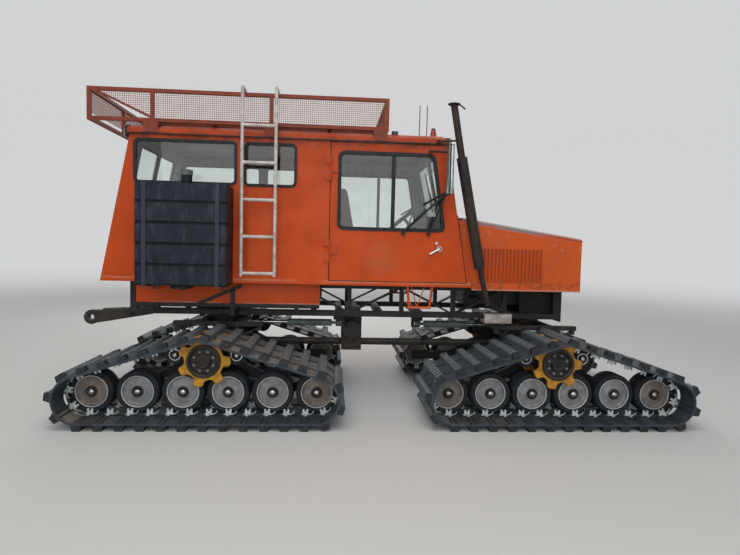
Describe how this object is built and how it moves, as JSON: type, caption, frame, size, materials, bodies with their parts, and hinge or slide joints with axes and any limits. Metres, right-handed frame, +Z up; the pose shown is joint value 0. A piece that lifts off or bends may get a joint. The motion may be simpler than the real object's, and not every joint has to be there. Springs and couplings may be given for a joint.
{
  "type": "four-track over-snow crew vehicle",
  "caption": "Over-snow crew vehicle with a slab-sided cab, short louvred hood and roof rack, on steered axles that carry tracked pontoons with open sprockets.",
  "frame": {"origin": "on the ground, in the middle of the overall length and width", "axes": "+X forward, +Y to the vehicle's left, +Z up"},
  "size_m": [5.3219, 2.44, 2.7306],
  "materials": {
    "frame_black": "worn satin black",
    "dark_steel": "dull, rusty at the edges",
    "cab_orange": "faded, half matt",
    "hood_orange": "faded, worn to bare metal on the edges",
    "glass": "clear, slightly green",
    "tank_blue": "dark satin",
    "pale_metal": "dull",
    "rack_brown": "worn, rusty",
    "red_lens": "glossy",
    "black_plastic": "matt",
    "lamp_white": "glossy lens",
    "seat_cloth": "woven",
    "wheel_grey": "dusty, bright ring",
    "tyre": "matt rubber",
    "amber": "smooth urethane",
    "grey_green": "satin",
    "bright_steel": "polished",
    "belt": "matt, with worn pads"
  },
  "bodies": {
    "chassis": {"frame_trusses": "frame_black", "crossmembers": "frame_black", "side_lockers": "cab_orange", "engine_block": "dark_steel", "driveline": "dark_steel", "hitch": "dark_steel", "cab_floor": "dark_steel", "cab_sides": "cab_orange", "cab_rear_wall": "cab_orange", "cab_front_wall": "cab_orange", "cab_roof": "cab_orange", "cab_glass": "glass", "hood_sides": "hood_orange", "nose_panel": "hood_orange", "fuel_tank": "tank_blue", "ladder": "pale_metal", "roof_rack": "rack_brown", "exhaust_stack": "dark_steel", "beacon": "red_lens", "antennas": "black_plastic", "lamps": "lamp_white", "seats": "seat_cloth", "dashboard": "black_plastic", "steering_wheel": "black_plastic"},
    "hood_lid": {"hood_lid": "hood_orange"},
    "door_right": {"door_right": "cab_orange", "door_glass_right": "glass", "mirror_right": "black_plastic"},
    "door_left": {"door_left": "cab_orange", "door_glass_left": "glass", "mirror_left": "black_plastic"},
    "front_axle": {"axle_front": "frame_black", "carrier_front": "dark_steel", "pontoon_frames_front": "frame_black", "wheels_front": "wheel_grey", "tyres_front": "tyre", "sprockets_front": "amber", "track_front_right": "belt", "track_front_left": "belt"},
    "front_barrel": {"barrel_front": "grey_green"},
    "front_rod": {"rod_front": "bright_steel"},
    "rear_axle": {"axle_rear": "frame_black", "carrier_rear": "dark_steel", "pontoon_frames_rear": "frame_black", "wheels_rear": "wheel_grey", "tyres_rear": "tyre", "sprockets_rear": "amber", "track_rear_right": "belt", "track_rear_left": "belt"},
    "rear_barrel": {"barrel_rear": "grey_green"},
    "rear_rod": {"rod_rear": "bright_steel"}
  },
  "joints": [
    {"name": "front_steer", "type": "hinge", "parent": "chassis", "child": "front_axle", "pos_m": [1.54235, 0, 0.4973], "axis": [0, 0, 1], "range_deg": [-14, 14]},
    {"name": "rear_steer", "type": "hinge", "parent": "chassis", "child": "rear_axle", "pos_m": [-1.32165, 0, 0.4973], "axis": [0, 0, 1], "range_deg": [-14, 14]},
    {"name": "front_barrel_swing", "type": "hinge", "parent": "chassis", "child": "front_barrel", "pos_m": [0.48035, -0.3, 0.7198], "axis": [0, 0, 1], "range_deg": [-5, 5]},
    {"name": "rear_barrel_swing", "type": "hinge", "parent": "chassis", "child": "rear_barrel", "pos_m": [-0.25965, -0.3, 0.7198], "axis": [0, 0, 1], "range_deg": [-5, 5]},
    {"name": "front_rod_slide", "type": "slide", "parent": "front_barrel", "child": "front_rod", "axis": [1, 0, 0], "range_m": [-0.08, 0.08]},
    {"name": "rear_rod_slide", "type": "slide", "parent": "rear_barrel", "child": "rear_rod", "axis": [-1, 0, 0], "range_m": [-0.08, 0.08]},
    {"name": "door_right_swing", "type": "hinge", "parent": "chassis", "child": "door_right", "pos_m": [-0.35365, -0.773, 1.7003], "axis": [0, 0, -1], "range_deg": [0, 80]},
    {"name": "door_left_swing", "type": "hinge", "parent": "chassis", "child": "door_left", "pos_m": [-0.35365, 0.773, 1.7003], "axis": [0, 0, 1], "range_deg": [0, 80]},
    {"name": "hood_swing", "type": "hinge", "parent": "chassis", "child": "hood_lid", "pos_m": [0.75584, 0, 1.6883], "axis": [0, -1, 0], "range_deg": [0, 60]}
  ],
  "couplings": [
    {"joint": "rear_steer", "follows": "front_steer", "ratio": -1},
    {"joint": "front_barrel_swing", "follows": "front_steer", "ratio": -0.276},
    {"joint": "rear_barrel_swing", "follows": "front_steer", "ratio": 0.276},
    {"joint": "front_rod_slide", "follows": "front_steer", "m_per_rad": 0.294},
    {"joint": "rear_rod_slide", "follows": "front_steer", "m_per_rad": 0.294}
  ]
}
